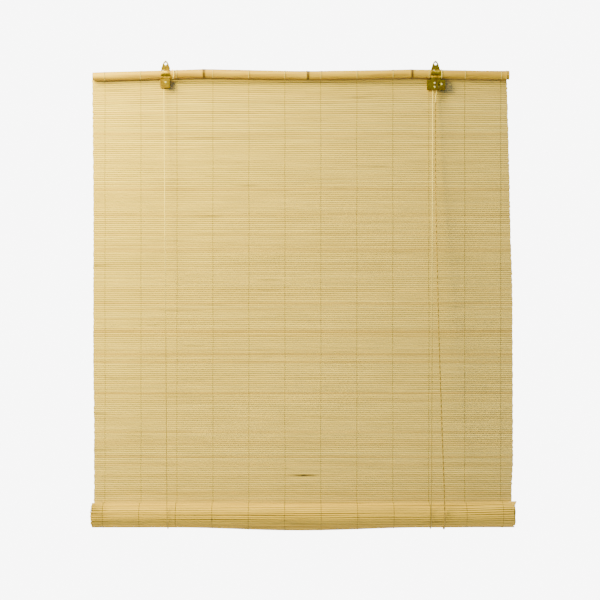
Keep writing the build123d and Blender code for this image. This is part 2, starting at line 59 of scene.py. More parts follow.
# %% Sizes shared with the model
mm = 0.001
pole_z = -23.0 * mm
pole_radius = 8.75 * mm
pole_kinks = [(-447.5, -4.2), (-208.0, 2.8), (16.0, -1.5), (240.0, 2.4), (449.0, -1.4)]
mat_top = -33.4 * mm
mat_middle_y = 8.25 * mm
stick_thickness = 1.9 * mm
stick_count = 211
stick_pitch = 4.434 * mm
roll_y, roll_z = -18.3 * mm, -969.2 * mm
roll_radius = 27.5 * mm
roll_layer = 3.25 * mm
core_radius = 7.3 * mm
warp_first, warp_pitch, warp_count = -422.0, 77.6, 12
warp_places = [(warp_first + warp_pitch * i) * mm for i in range(warp_count)]
cord_radius = 0.8 * mm
rng = random.Random(11)


def between(table, place):
    """The value of a table of (place, value) rows at one place, along straight lines."""
    for (a, low), (b, high) in zip(table, table[1:]):
        if place <= b:
            return low + (high - low) * (place - a) / (b - a)
    return table[-1][1]


# %% [markdown]
# ## Camera
# The photograph looks straight at the blind from the middle of its height, and hardly any perspective shows, so the
# camera stands 3.5 m away with a long lens. The lens follows from the width that the picture takes in, 1.292 m.

# %% Camera
camera_distance = 3.5
picture_width = 1.2918
picture_middle_x, picture_middle_z = -1.3 * mm, -508.3 * mm
sensor_width = 36
bpy.ops.object.camera_add(location=(picture_middle_x, -camera_distance, picture_middle_z),
                          rotation=(math.radians(90), 0, 0))
camera = bpy.context.object
camera.data.sensor_width = sensor_width
camera.data.lens = sensor_width * camera_distance / picture_width
bpy.context.scene.camera = camera
print("lens", round(camera.data.lens, 1), "mm")

# %% [markdown]
# ## Colours and shader nodes
# Colours are picked as they look on a screen, written as hex values, and turned to the linear values that a shader
# wants. One small function adds a node with its settings and its links, so that the surroundings and each finish
# below read as a list of what feeds what.

# %% Colour and node helpers
def linear(code):
    """The linear colour of an sRGB hex value."""
    parts = [int(code[i:i + 2], 16) / 255 for i in (1, 3, 5)]
    return [c / 12.92 if c <= 0.04045 else ((c + 0.055) / 1.055) ** 2.4 for c in parts] + [1.0]


def feed(tree, node, inputs):
    """Gives each input of a node its value, or the output that feeds it."""
    for name, value in inputs.items():
        if isinstance(value, bpy.types.NodeSocket):
            tree.links.new(value, node.inputs[name])
        else:
            node.inputs[name].default_value = value


def add(tree, kind, inputs=None, stops=(), **settings):
    """Adds a shader node with its settings and feeds it. The stops are a ramp's positions and hex colours."""
    made = tree.nodes.new("ShaderNode" + kind)
    for name, value in settings.items():
        setattr(made, name, value)
    if stops:
        elements = made.color_ramp.elements
        while len(elements) < len(stops):
            elements.new(0.5)
        for element, (position, code) in zip(elements, stops):
            element.position = position
            element.color = linear(code)
    feed(tree, made, inputs or {})
    return made


# %% [markdown]
# ## Light
# A warm lamp stands near the blind on its left, a little above its top. It rakes over the sticks, so each has a
# bright upper edge and a dark groove below, and the mat turns from yellow on the left to grey on the right. The
# surroundings fill the shadows and are darker below, as in a room with a dark floor, so the undersides of the cane
# and of the roll are brown. To the camera they are plain white, like the paper that a product is cut out on. A
# weaker lamp high up in front evens the light out, and one behind the blind is only for looking at its back. The
# floor lies below the picture.

# %% Lamps, surroundings and floor
def add_lamp(name, place, aim, size, power, tint):
    """A square lamp that points at its aim, with its power in watts."""
    bpy.ops.object.light_add(type="AREA", location=place)
    lamp = bpy.context.object
    lamp.name = name
    lamp.data.size = size
    lamp.data.energy = power
    lamp.data.color = tint
    lamp.rotation_euler = (Vector(aim) - Vector(place)).to_track_quat("-Z", "Y").to_euler()


add_lamp("key_lamp", (-1.15, -0.72, 0.42), (0.0, 0.0, -0.6), 0.8, 124, (1.0, 0.815, 0.04))
add_lamp("top_lamp", (-0.3, -0.9, 1.6), (0.0, 0.0, -0.7), 0.8, 38, (1.0, 0.9, 0.42))
add_lamp("back_lamp", (0.9, 1.7, 0.5), (0.0, 0.0, -0.5), 1.2, 55, (1.0, 0.9, 0.66))

surroundings = bpy.data.worlds.new("white_studio")
bpy.context.scene.world = surroundings
surroundings.use_nodes = True
tree = surroundings.node_tree
upward = add(tree, "SeparateXYZ", {0: add(tree, "TexCoord").outputs["Generated"]}).outputs["Z"]
brightness = add(tree, "MapRange", {"Value": upward, "From Min": -0.7, "From Max": 0.7, "To Min": 0.12,
                                    "To Max": 0.66}).outputs[0]
fill = tree.nodes["Background"]
feed(tree, fill, {"Color": (0.5, 0.73, 1, 1), "Strength": brightness})
seen_white = add(tree, "Background", {"Strength": 10.0})
seen = add(tree, "LightPath").outputs["Is Camera Ray"]
either = add(tree, "MixShader", {0: seen, 1: fill.outputs[0], 2: seen_white.outputs[0]})
feed(tree, tree.nodes["World Output"], {"Surface": either.outputs[0]})

floor_radius, floor_z = 1.25, -1.45
bpy.ops.mesh.primitive_circle_add(vertices=96, radius=floor_radius, fill_type="NGON", location=(0, 0, floor_z))
floor = bpy.context.object
floor.name = "floor"

# %% [markdown]
# ## Finishes
# Each finish starts from what the real surface is, and its patterns are scaled from the size of the real ones.

# %% Materials and what wears them
def new_finish(name, roughness, metallic=0.0):
    """A material with its main shader, ready for its colour and relief."""
    material = bpy.data.materials.new(name)
    material.use_nodes = True
    shader = material.node_tree.nodes["Principled BSDF"]
    feed(material.node_tree, shader, {"Roughness": roughness, "Metallic": metallic})
    return material, material.node_tree, shader


def wear_finish(obj, material):
    """The finish of a new piece or of a node of the model."""
    obj.data.materials.clear()
    obj.data.materials.append(material)


floor_paint, tree, shader = new_finish("floor_pale_paint", 0.9)
feed(tree, shader, {"Base Color": linear("#F2F1EE")})
wear_finish(floor, floor_paint)

# %% [markdown]
# Split bamboo is the pale inner wood of the cane, cut by machine and left raw: matt, with long fibres that show as
# fine darker lines, and each stick has its own shade from straw to tan. The shade and the place along and across the
# stick are stored on the mesh, so the pattern stays on the sticks when the blind is drawn up. A fourth stored value is
# mostly painted shade: in the grooves and on the lower half of each stick, in gaps where sticks have parted, and under
# the roll; it also holds a few random darker stretches. The roll shows the mat's other face, in a paler and yellower
# copy of the finish that is painted light for the bright top of the roll.

# %% Split bamboo, sawn and raw
fibre_length, fibre_spacing, stain_length = 60 * mm, 0.8 * mm, 150 * mm
own_pattern = 97.0  # sets sticks of nearly the same shade far apart in the noise


def split_finish(name, stops):
    """Raw split bamboo, whose shades run through the stops from the darkest stick to the palest."""
    material, tree, shader = new_finish(name, 0.62)
    tone, along, across, shade = (add(tree, "Attribute", attribute_name=label).outputs["Fac"]
                                  for label in ("stick_tone", "stick_along", "stick_across", "stick_shade"))
    on_stick = add(tree, "CombineXYZ", {"X": along, "Y": across, "Z": tone}).outputs[0]
    fibre_place = add(tree, "Mapping", {"Vector": on_stick, "Scale": (
        1 / fibre_length, 1 / fibre_spacing, own_pattern)}).outputs[0]
    fibres = add(tree, "TexNoise", {"Vector": fibre_place, "Scale": 1.0, "Detail": 3.0}).outputs["Fac"]
    along_stick = add(tree, "CombineXYZ", {"X": along, "Y": tone}).outputs[0]
    stain_place = add(tree, "Mapping", {"Vector": along_stick, "Scale": (1 / stain_length, own_pattern, 1)}).outputs[0]
    stains = add(tree, "TexNoise", {"Vector": stain_place, "Scale": 1.0, "Detail": 2.0}).outputs["Fac"]
    fibre_shade = add(tree, "MapRange", {"Value": fibres, "From Min": 0.35, "From Max": 0.65, "To Min": 0.86,
                                         "To Max": 1.05}).outputs[0]
    stain_shade = add(tree, "MapRange", {"Value": stains, "From Min": 0.3, "From Max": 0.7, "To Min": 0.86,
                                         "To Max": 1.08}).outputs[0]
    both = add(tree, "Math", {0: fibre_shade, 1: stain_shade}, operation="MULTIPLY").outputs[0]
    colour = add(tree, "ValToRGB", {"Fac": tone}, stops).outputs["Color"]
    shaded = add(tree, "VectorMath", {0: colour, "Scale": both}, operation="SCALE").outputs[0]
    # Painted shade: the stored value darkens the grooves, the lower half of each stick, parted gaps and the roll's
    # underside towards one dark brown; it also holds a few random darker stretches.
    painted_shade_and_patches = add(tree, "MixRGB", {"Fac": shade, "Color1": shaded, "Color2": linear("#3E342A")}).outputs[0]
    relief = add(tree, "Bump", {"Height": fibres, "Strength": 0.35, "Distance": 0.15 * mm}).outputs[0]
    feed(tree, shader, {"Base Color": painted_shade_and_patches, "Normal": relief})
    return material


raw_bamboo = split_finish(
    "split_bamboo_raw", [(0.0, "#B48F4C"), (0.3, "#DABB76"), (0.62, "#EBD18C"), (1.0, "#F4E0A6")])
# Painted light: a paler, yellower copy of the bamboo finish, for the brightly lit top of the roll.
lit_reverse_bamboo = split_finish(
    "split_bamboo_reverse_lit", [(0.0, "#A0762A"), (0.3, "#D8AC44"), (0.62, "#F2CB54"), (1.0, "#FADE78")])

# %% [markdown]
# The head pole is whole cane with its skin on: satin, a little waxy, honey yellow with greener and browner drifts
# along its length, and almost black in the groove of each node. The darkness of the nodes is stored on the mesh. The
# drifts are about 110 mm long and 6 mm wide, and the fine lines in the skin 40 mm long and 0.7 mm apart.

# %% Cane with its skin
drift_scale = (1 / (111.11 * mm), 1 / (6.25 * mm), 1 / (6.25 * mm))
skin_scale = (1 / (40 * mm), 1 / (0.71429 * mm), 1 / (0.71429 * mm))
cane, tree, shader = new_finish("bamboo_cane_skin", 0.5)
place = add(tree, "TexCoord").outputs["Object"]
drift_place = add(tree, "Mapping", {"Vector": place, "Scale": drift_scale}).outputs[0]
drift = add(tree, "TexNoise", {"Vector": drift_place, "Scale": 1.0, "Detail": 3.0}).outputs["Fac"]
skin_place = add(tree, "Mapping", {"Vector": place, "Scale": skin_scale}).outputs[0]
skin_lines = add(tree, "TexNoise", {"Vector": skin_place, "Scale": 1.0, "Detail": 2.0}).outputs["Fac"]
skin = add(tree, "ValToRGB", {"Fac": drift}, [(0.3, "#B08C1E"), (0.5, "#C2A026"), (0.7, "#D0B236")]).outputs["Color"]
skin_shade = add(tree, "MapRange", {"Value": skin_lines, "From Min": 0.3, "From Max": 0.7, "To Min": 0.9,
                                    "To Max": 1.06}).outputs[0]
skin_lined = add(tree, "VectorMath", {0: skin, "Scale": skin_shade}, operation="SCALE").outputs[0]
node_dark = add(tree, "Attribute", attribute_name="node_dark").outputs["Fac"]
ringed = add(tree, "MixRGB", {"Fac": node_dark, "Color1": skin_lined, "Color2": linear("#4E3710")}).outputs[0]
relief = add(tree, "Bump", {"Height": skin_lines, "Strength": 0.2, "Distance": 0.1 * mm}).outputs[0]
feed(tree, shader, {"Base Color": ringed, "Normal": relief, "Coat Weight": 0.06, "Coat Roughness": 0.3})

# %% [markdown]
# The cords and threads are cotton: the lift cord is braided and cream, 1.6 mm thick, and the warp is a spun thread,
# coloured dark as painted shade. The braid is two sets of diagonal bands that cross, about 1 mm apart, with a fuzz of
# fibres on top. Painted shade darkens the cord in its lower two thirds, and only its top keeps its lit colour. The
# pull cord and the cord that crosses under the cane are darker copies of it, painted shade as well.

# %% Braided cord and spun thread
lit_above, shaded_below = -300 * mm, -620 * mm
fuzz_size = 0.4 * mm
wave_band = 0.16  # how wide one band of a wave texture is at scale 1, in metres


def cotton(name, pale, dark, band, lower_shade=0.0):
    """Braided or spun cotton with bands of the given width, and painted shade below by a share from 0 to 1."""
    material, tree, shader = new_finish(name, 0.85)
    place = add(tree, "TexCoord").outputs["Object"]
    bands = []
    for lean in (40, -40):
        leant = add(tree, "Mapping", {"Vector": place, "Rotation": (0, math.radians(lean), 0)}).outputs[0]
        wave = add(tree, "TexWave", {"Vector": leant, "Scale": wave_band / band}, bands_direction="Z")
        bands.append(wave.outputs["Fac"])
    braid = add(tree, "Math", {0: bands[0], 1: bands[1]}, operation="MAXIMUM").outputs[0]
    fuzz = add(tree, "TexNoise", {"Vector": place, "Scale": 1 / fuzz_size, "Detail": 2.0}).outputs["Fac"]
    height = add(tree, "Math", {0: braid, 1: fuzz}, operation="ADD").outputs[0]
    colour = add(tree, "ValToRGB", {"Fac": height}, [(0.5, dark), (0.65, pale)]).outputs["Color"]
    drop = add(tree, "SeparateXYZ", {0: place}).outputs["Z"]
    cord_shade = add(tree, "MapRange", {"Value": drop, "From Min": lit_above, "From Max": shaded_below, "To Min": 0.0,
                                  "To Max": lower_shade}).outputs[0]
    # Painted shade: lower down the cord turns towards a dark brown.
    shaded_colour = add(tree, "MixRGB", {"Fac": cord_shade, "Color1": colour, "Color2": linear("#6E5A30")}).outputs[0]
    relief = add(tree, "Bump", {"Height": height, "Strength": 0.6, "Distance": 0.15 * mm}).outputs[0]
    feed(tree, shader, {"Base Color": shaded_colour, "Normal": relief, "Sheen Weight": 0.15})
    return material


lift_cord = cotton("cotton_cord_braided", "#EFDDA4", "#BFA566", 1.0 * mm, lower_shade=0.85)
# Painted shade: the pull cord is a darker copy of the same cotton cord.
pull_cord_shaded = cotton("cotton_cord_pull_shaded", "#B79C5E", "#7A612B", 1.0 * mm, lower_shade=0.5)
shaded_cord = cotton("cotton_cord_shaded", "#A8904E", "#7A6430", 1.0 * mm)
# Painted shade: the warp threads are a dark copy of the cotton thread, the loops over the cane a paler one.
shaded_warp_thread = cotton("cotton_thread_spun_shaded", "#5C5230", "#3A331C", 0.5 * mm)
pale_thread = cotton("cotton_thread_pale", "#C8B67C", "#9C8A54", 0.5 * mm)

# %% [markdown]
# The hangers are stamped from steel sheet and brass plated: a greenish gold with a soft brushed sheen, duller where
# it has tarnished, and slightly wavy from the press, so that it shines in spots. The rivets, pins and eyelets are
# plated with nickel, and the pulleys and the lock's roller are turned brass. The brush marks are drawn 4 mm long and
# a third of a millimetre apart. The rod inside the roll is planed wood, with a grain 2 mm wide.

# %% Plated and turned metal, and planed wood
brush_scale = (3 / mm, 3 / mm, 1 / (4 * mm))
grain_scale = (1 / (125 * mm), 1 / (2 * mm), 1 / (2 * mm))


def metal(name, bright, dull, roughness, patch, dent):
    """Brushed metal with tarnished patches and shallow dents of the given sizes."""
    material, tree, shader = new_finish(name, roughness, 1.0)
    place = add(tree, "TexCoord").outputs["Object"]
    tarnish = add(tree, "TexNoise", {"Vector": place, "Scale": 1 / patch, "Detail": 4.0}).outputs["Fac"]
    colour = add(tree, "ValToRGB", {"Fac": tarnish}, [(0.38, dull), (0.62, bright)]).outputs["Color"]
    rough = add(tree, "MapRange", {"Value": tarnish, "From Min": 0.35, "From Max": 0.65,
                                   "To Min": roughness + 0.12, "To Max": roughness - 0.04}).outputs[0]
    brush_place = add(tree, "Mapping", {"Vector": place, "Scale": brush_scale}).outputs[0]
    brushed = add(tree, "TexNoise", {"Vector": brush_place, "Scale": 1.0, "Detail": 2.0}).outputs["Fac"]
    dents = add(tree, "TexNoise", {"Vector": place, "Scale": 1 / dent, "Detail": 1.0}).outputs["Fac"]
    waved = add(tree, "Bump", {"Height": dents, "Strength": 0.8, "Distance": 0.12 * dent}).outputs[0]
    relief = add(tree, "Bump", {"Height": brushed, "Strength": 0.15, "Distance": 0.05 * mm,
                                "Normal": waved}).outputs[0]
    feed(tree, shader, {"Base Color": colour, "Roughness": rough, "Normal": relief})
    return material


brass = metal("brass_plated_steel", "#CFAE2E", "#8A6E12", 0.32, 9 * mm, 4 * mm)
turned_brass = metal("brass_turned", "#D9BE6A", "#A58A3E", 0.3, 4 * mm, 8 * mm)
nickel = metal("nickel_plated_steel", "#F4F0E2", "#CCC6B4", 0.42, 5 * mm, 6 * mm)

rod_wood, tree, shader = new_finish("planed_wood", 0.6)
place = add(tree, "TexCoord").outputs["Object"]
grain_place = add(tree, "Mapping", {"Vector": place, "Scale": grain_scale}).outputs[0]
grain = add(tree, "TexNoise", {"Vector": grain_place, "Scale": 1.0, "Detail": 4.0}).outputs["Fac"]
wood = add(tree, "ValToRGB", {"Fac": grain}, [(0.3, "#A98754"), (0.7, "#CDAE79")]).outputs["Color"]
feed(tree, shader, {"Base Color": wood})

# %% Finishes of the model's own nodes
brass_nodes = ["left_hanger_front", "left_hanger_back", "lock_front_plate", "lock_back_plate"]
nickel_nodes = ["left_eyelet", "right_eyelet", "left_fixing_pin", "right_fixing_pin", "left_pulley_axle",
                "lock_pulley_axle", "lock_anvil", "lock_spacer_rivet"]
pulley_nodes = ["left_pulley", "lock_front_pulley", "lock_back_pulley", "lock_roller"]
cord_nodes = ["left_cord_sling", "right_cord_sling", "right_cord_head", "coil_tie"]
for names, finish in ((brass_nodes, brass), (nickel_nodes, nickel), (pulley_nodes, turned_brass),
                      (cord_nodes, lift_cord), (["left_cord_cross"], shaded_cord), (["bottom_rod"], rod_wood)):
    for name in names:
        wear_finish(nodes[name], finish)

# %% [markdown]
# ## Lines and tubes
# A cord is one smooth line, so its route is a spline through a few chosen points. A tube is built round the line that
# the spline gives, ring by ring, because a strand of cord or a thread winds and swings all the way, and its place is
# known by a formula at each of its hundreds of rings.

# %% New objects
smooth_angle = math.radians(50)


def select_only(*objects):
    """Selects these objects alone, and makes the first one active, so that the operators work on them."""
    bpy.ops.object.select_all(action="DESELECT")
    for obj in objects:
        obj.select_set(True)
    bpy.context.view_layer.objects.active = objects[0]


def place_object(name, data):
    """An object with this mesh or curve, placed in the scene and selected."""
    made = bpy.data.objects.new(name, data)
    bpy.context.scene.collection.objects.link(made)
    select_only(made)
    return made


def new_piece(name, verts, faces):
    """A mesh object at the origin, smooth over its gentle edges."""
    mesh = bpy.data.meshes.new(name)
    mesh.from_pydata([tuple(v) for v in verts], [], faces)
    mesh.update()
    made = place_object(name, mesh)
    bpy.ops.object.mode_set(mode="EDIT")
    bpy.ops.mesh.select_all(action="SELECT")
    bpy.ops.mesh.normals_make_consistent(inside=False)
    bpy.ops.object.mode_set(mode="OBJECT")
    bpy.ops.object.shade_smooth_by_angle(angle=smooth_angle)
    print(name, len(verts), "points,", sum(len(f) - 2 for f in faces), "triangles")
    return made


# %% Lines
def spline_line(points, steps):
    """The points along a smooth spline through a route's points, given in millimetres."""
    data = bpy.data.curves.new("route", "CURVE")
    data.dimensions = "3D"
    spline = data.splines.new("NURBS")
    spline.points.add(len(points) - 1)
    for point, place in zip(spline.points, points):
        point.co = (place[0] * mm, place[1] * mm, place[2] * mm, 1)
    spline.order_u = 3
    spline.use_endpoint_u = True
    data.resolution_u = steps
    holder = bpy.data.objects.new("route", data)
    mesh = bpy.data.meshes.new_from_object(holder)
    line = [v.co.copy() for v in mesh.vertices]
    bpy.data.meshes.remove(mesh)
    bpy.data.objects.remove(holder)
    bpy.data.curves.remove(data)
    return line


def line_length(line):
    """The length of a line along its points."""
    return sum((b - a).length for a, b in zip(line, line[1:]))


def side_vectors(line):
    """Two unit vectors across the line at each of its points, carried along without twisting."""
    side = Vector((0, 1, 0.1))
    sides = []
    for before, after in zip(line[:1] + line, line[1:] + line[-1:]):
        way = (after - before).normalized()
        side = (side - way * side.dot(way)).normalized()
        sides.append((side.copy(), way.cross(side)))
    return sides


# %% Tubes
strand_corners = 6
twist_length = 24 * mm


def tube_faces(first, rings, around):
    """The walls and both ends of a tube whose corners are numbered ring by ring from the first."""
    faces = []
    for ring in range(first, first + (rings - 1) * around, around):
        for k in range(around):
            after = (k + 1) % around
            faces.append((ring + k, ring + after, ring + around + after, ring + around + k))
    last = first + (rings - 1) * around
    faces.append(tuple(first + k for k in reversed(range(around))))
    faces.append(tuple(last + k for k in range(around)))
    return faces


def round_tube(name, line, radius, around):
    """A round tube along a line, closed at its ends."""
    verts = []
    for point, (a, b) in zip(line, side_vectors(line)):
        for k in range(around):
            angle = 2 * math.pi * k / around
            verts.append(point + (a * math.cos(angle) + b * math.sin(angle)) * radius)
    return new_piece(name, verts, tube_faces(0, len(line), around))


def twisted_cord(name, line):
    """Two strands that wind round a line, closed at their ends."""
    verts, faces = [], []
    sides = side_vectors(line)
    for strand in range(2):
        faces += tube_faces(len(verts), len(line), strand_corners)
        gone = 0.0
        for i, (point, (a, b)) in enumerate(zip(line, sides)):
            gone += (point - line[i - 1]).length if i else 0.0
            turn = 2 * math.pi * gone / twist_length + math.pi * strand
            out = a * math.cos(turn) + b * math.sin(turn)
            over = b * math.cos(turn) - a * math.sin(turn)
            for k in range(strand_corners):
                angle = 2 * math.pi * k / strand_corners
                outward = out * cord_radius * (1 + math.cos(angle))
                verts.append(point + outward + over * cord_radius * math.sin(angle))
    return new_piece(name, verts, faces)


# %% [markdown]
# ## The pull cord
# Below the lock the ends of the two lift cords run together and are pulled as one: two strands of 1.6 mm, twisted.
# The cord leans out with the roll, passes under it, and the length that is not in use is wound into a small coil
# behind the mat.

# %% The hanging part, from the lock to the front of the roll
pull_points = [
    (290.4, 0.0, -83.2), (289.6, -4.0, -150.5), (289.5, -9.3, -242.6), (290.4, -14.3, -330.3), (292.3, -19.5, -424.2),
    (294.0, -24.7, -519.0), (296.0, -29.8, -615.5), (299.0, -34.9, -712.0), (301.6, -43.0, -809.5),
    (304.6, -46.6, -891.8), (306.4, -47.7, -968.9),
]
pull_line = spline_line(pull_points, 34)
pull_cord = twisted_cord("pull_cord_strands", pull_line)
wear_finish(pull_cord, pull_cord_shaded)
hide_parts("pull_cord_front")
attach(pull_cord, "head")
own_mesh(pull_cord)
print("pull cord, hanging part", round(line_length(pull_line), 3), "m")

# %% The rest of it, under the roll, up behind the mat and round in a coil
# In millimetres. Each turn of the coil has its own place, further out or in and further back or to the front, and in
# its last third it leads over to the next turn's
coil_x, coil_y, coil_z, coil_radius = 305.3, 15.1, -907.2, 17.6
coil_start = math.radians(-20)
cut_corners = 1.0196  # how much further out a spline's points lie than the round turn that it draws
tail_points = [
    (306.4, -47.7, -968.9), (306.4, -47.7, -977.1), (306.4, -39.8, -990.7), (306.4, -26.2, -998.6),
    (306.4, -10.4, -998.6), (306.5, 3.2, -990.7), (306.7, 11.1, -977.1), (307.5, 12.4, -960.0), (310.3, 13.0, -944.0),
    (316.8, 13.6, -931.0),
]
turn_places = [(2.9, -1.2), (1.5, -2.4), (-1.4, -2.3), (-2.8, -0.2), (-1.5, 2.8), (1.7, 2.7), (0.0, 0.1), (2.6, 1.4)]
points_per_turn = 16
coil_turns = 7.25
for step in range(int(coil_turns * points_per_turn)):
    turn = step / points_per_turn
    angle = coil_start + 2 * math.pi * turn
    low, high = turn_places[int(turn)], turn_places[min(int(turn) + 1, len(turn_places) - 1)]
    share = min(1.0, max(0.0, (turn - int(turn)) * 3 - 2))
    out, aside = (a + (b - a) * share for a, b in zip(low, high))
    reach = (coil_radius + out + rng.uniform(-0.25, 0.25)) * cut_corners
    tail_points.append((coil_x + reach * math.cos(angle), coil_y + aside, coil_z + reach * math.sin(angle)))
tail_line = spline_line(tail_points, 10)
tail_cord = twisted_cord("pull_cord_rest", tail_line)
wear_finish(tail_cord, pull_cord_shaded)
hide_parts("pull_cord_tail", "pull_cord_coil")
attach(tail_cord, "lift")

# %% [markdown]
# A knot is a cord that goes through its own loop. The trefoil line is the overhand knot with its ends joined, and a
# tube round it, pulled small, is a convincing tight knot.

# %% Knots
knot_points = 24
knot_depth = 0.48


def knot(name, centre, size, radius, body):
    """An overhand knot pulled tight, about twice the given size across."""
    data = bpy.data.curves.new(name, "CURVE")
    data.dimensions = "3D"
    data.bevel_depth = radius
    data.bevel_resolution = 2
    spline = data.splines.new("NURBS")
    spline.points.add(knot_points - 1)
    for i, point in enumerate(spline.points):
        t = 2 * math.pi * i / knot_points
        x = (math.sin(t) + 2 * math.sin(2 * t)) / 3
        y = (math.cos(t) - 2 * math.cos(2 * t)) / 3
        depth = knot_depth * math.sin(3 * t)
        point.co = (centre[0] + size * x, centre[1] - size * depth, centre[2] + size * y, 1)
    spline.use_cyclic_u = True
    place_object(name, data)
    bpy.ops.object.convert(target="MESH")
    made = bpy.context.object
    wear_finish(made, lift_cord)
    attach(made, body)
    return made


end_knot = knot("pull_cord_knot", tail_line[-1], 2.2 * mm, 1.0 * mm, "lift")
print("pull cord, rest", round(line_length(tail_line), 3), "m")

# %% [markdown]
# ## Lift cords
# Each lift cord is tied round the cane, goes down behind the mat, under the roll and up in front to its pulley. The
# straight runs get shorter as the blind is drawn up; here each is one straight mesh. Each loop round the cane is one
# turn with a knot behind.

# %% Straight runs of the lift cords
def cord_run(name, top, foot, node):
    """A straight round cord between two points in millimetres, which stands for a node."""
    start, end = Vector(top) * mm, Vector(foot) * mm
    middle, way = (start + end) / 2, end - start
    bpy.ops.object.select_all(action="DESELECT")
    bpy.ops.mesh.primitive_cylinder_add(vertices=12, radius=cord_radius, depth=way.length, location=middle,
                                        rotation=way.to_track_quat("Z", "X").to_euler())
    run = bpy.context.object
    run.name = name
    bpy.ops.object.transform_apply(location=True, rotation=True, scale=True)
    bpy.ops.object.shade_smooth_by_angle(angle=smooth_angle)
    wear_finish(run, lift_cord)
    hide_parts(node)
    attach(run, "head")
    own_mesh(run)


cord_run("left_front_run", (-294.3, 0, -42.1), (-283.8, -46.9, -968.9), "left_cord_front")
cord_run("right_front_run", (284.5, -2.2, -43.6), (278.0, -46.9, -968.9), "right_cord_front")
cord_run("left_back_run", (-275.5, 10.3, -28.2), (-283.8, 10.3, -968.9), "left_cord_back")
cord_run("right_back_run", (303.3, 10.3, -27.8), (278.0, 10.3, -968.9), "right_cord_back")


# %% Cord loops round the cane
loop_stand = 1.15  # from the cane's skin to the middle of the cord, in millimetres
loop_steps = 24
loop_pitch = 1.8


def pole_axis_z(x):
    """The height of the cane's axis, in metres, as the model has it."""
    return pole_z + between([(a * mm, b * mm) for a, b in pole_kinks], x)


def cord_loop(name, x, slack, node):
    """A turn of lift cord round the cane, whose front has slipped to the side by its slack in millimetres."""
    ring = pole_radius / mm + loop_stand
    z = pole_axis_z(x)
    line = []
    for i in range(loop_steps + 1):
        angle = math.radians(-25) + 2 * math.pi * i / loop_steps
        front = max(0.0, -math.cos(angle))
        line.append((x / mm + slack * front ** 2 + loop_pitch * (i / loop_steps - 0.5),
                     (ring + 0.3 * slack * front) * math.cos(angle),
                     z / mm + (ring + 0.2 * slack * front) * math.sin(angle)))
    loop = round_tube(name, spline_line(line, 5), cord_radius, 8)
    wear_finish(loop, lift_cord)
    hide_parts(node)
    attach(loop, "head")
    knot(name + "_knot", (x, 10.6 * mm, z - 4.0 * mm), 1.5 * mm, 0.75 * mm, "head")


cord_loop("left_cord_loop", -275.5 * mm, 3.5, "left_cord_tie")
cord_loop("right_cord_loop", 303.3 * mm, 0.0, "right_cord_tie")

# %% [markdown]
# ## The cane
# A cane tapers hardly at all, is a little thicker at its nodes, and bends there. A cylinder is cut into rings, and
# each ring is moved to its place on the bent axis and given its radius: a ridge, a dark groove and a lower ridge at
# each node, and a hardly visible swelling on the way to it. The left end is sawn and hollow.

# %% Nodes of the cane, and the rings it is cut into
pole_left, pole_right = pole_kinks[0][0], pole_kinks[-1][0]
end_node = 446.0
node_places = [x for x, _ in pole_kinks[1:-1]] + [end_node]
node_profile = [(-9.0, 0.0), (-4.5, 0.22), (-2.2, 0.72), (-1.0, 0.55), (-0.3, 0.08), (0.3, 0.08), (1.0, 0.45),
                (2.4, 0.25), (5.0, 0.0)]
rings_per_span = 12
node_rings = (-5.5, -3.4, -2.2, -1.4, -0.7, 0.6, 1.2, 2.4, 4.5)
end_rings = (438.0, 441.5, 443.5, 444.6, 445.2, end_node, 446.8, 447.6, pole_right)
ring_places = set(end_rings)
for (a, _), (b, _) in zip(pole_kinks, pole_kinks[1:]):
    ring_places.update(a + (b - a) * i / rings_per_span for i in range(rings_per_span))
for x, _ in pole_kinks[1:-1]:
    ring_places.update(x + away for away in node_rings)
ring_places = sorted(ring_places)


def cane_radius(x):
    """The cane's radius in millimetres at a place along it."""
    swell = 0.12 * math.sin(x / 37.0) + 0.08 * math.sin(x / 11.0 + 1.0) + 0.7 * max(0.0, (x - 380.0) / 70.0)
    ridge = 0.0
    for place in node_places:
        away = x - place
        if node_profile[0][0] < away < node_profile[-1][0]:
            ridge = between(node_profile, away)
    return pole_radius / mm + swell + ridge


def smooth_axis(x):
    """The height of the bent axis, with each bend spread over 30 mm."""
    reach = 15.0
    samples = [between(pole_kinks, max(pole_left, min(pole_right, x + reach * k / 4))) for k in range(-4, 5)]
    return sum(samples) / len(samples)


# %% A cylinder cut into rings, and bent
def select_edges(obj, wanted):
    """Selects the edges whose two ends pass a test, and nothing else."""
    for part in (obj.data.vertices, obj.data.edges, obj.data.polygons):
        part.foreach_set("select", [False] * len(part))
    for edge in obj.data.edges:
        if wanted(*(obj.data.vertices[i].co for i in edge.vertices)):
            edge.select = True


def runs_along(a, b):
    """Tells an edge that runs the whole length of a bar one metre long."""
    return abs(a.x - b.x) > 0.5


def stain(x):
    """How dark the cane is at x, in steps away from the nearest node. The node at the right end is paler."""
    away = min(abs(x - place) for place in node_places)
    dark = 1.0 if away < 1.3 else 0.65 if away < 2.5 else 0.25 if away < 3.8 else 0.0
    return dark * (0.3 if x > 440 else 1.0)


